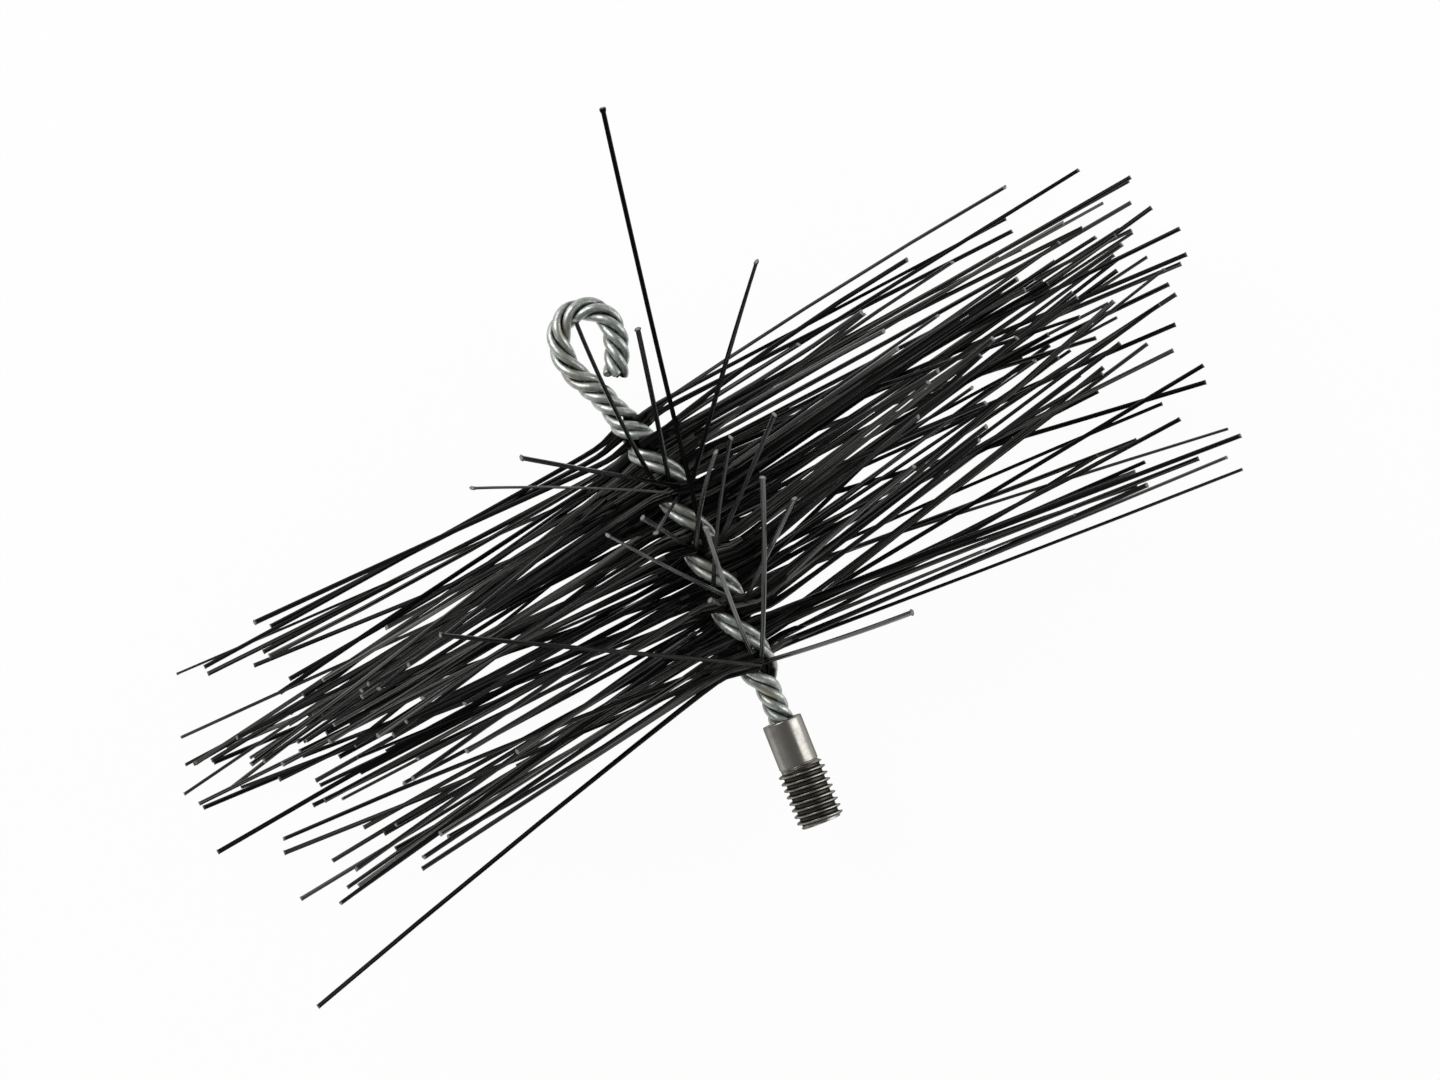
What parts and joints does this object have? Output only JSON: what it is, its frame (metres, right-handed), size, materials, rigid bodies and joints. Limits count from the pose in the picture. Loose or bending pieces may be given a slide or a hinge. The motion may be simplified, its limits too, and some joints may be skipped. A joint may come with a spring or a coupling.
{
  "type": "chimney sweep brush",
  "caption": "Flat flue brush: black plastic bristles gripped in a twisted wire stem with a bent pulling eye and a male threaded ferrule.",
  "frame": {"origin": "centre of the ferrule's end face, where the thread starts", "axes": "+Y runs up the stem from the ferrule towards the eye, +X points to the brush's right with the eye up, +Z points away from the floor that the brush lies on"},
  "size_m": [0.281, 0.1816, 0.1459],
  "materials": {
    "turned_steel": "turned and lightly worn",
    "galvanised_wire": "galvanised, satin",
    "black_plastic": "extruded flat strip, satin"
  },
  "bodies": {
    "root": {"threaded_ferrule": "turned_steel", "stem_wire_1": "galvanised_wire", "stem_wire_2": "galvanised_wire", "stem_wire_3": "galvanised_wire", "stem_wire_4": "galvanised_wire", "bristle_tuft_1": "black_plastic", "bristle_tuft_2": "black_plastic", "bristle_tuft_3": "black_plastic", "bristle_tuft_4": "black_plastic", "bristle_tuft_5": "black_plastic", "stray_bristle_01": "black_plastic", "stray_bristle_02": "black_plastic", "stray_bristle_03": "black_plastic", "stray_bristle_04": "black_plastic", "stray_bristle_05": "black_plastic", "stray_bristle_06": "black_plastic", "stray_bristle_07": "black_plastic", "stray_bristle_08": "black_plastic", "stray_bristle_09": "black_plastic", "stray_bristle_10": "black_plastic", "stray_bristle_11": "black_plastic", "stray_bristle_12": "black_plastic", "stray_bristle_13": "black_plastic", "stray_bristle_14": "black_plastic", "stray_bristle_15": "black_plastic", "stray_bristle_16": "black_plastic", "stray_bristle_17": "black_plastic", "stray_bristle_18": "black_plastic"}
  },
  "joints": []
}
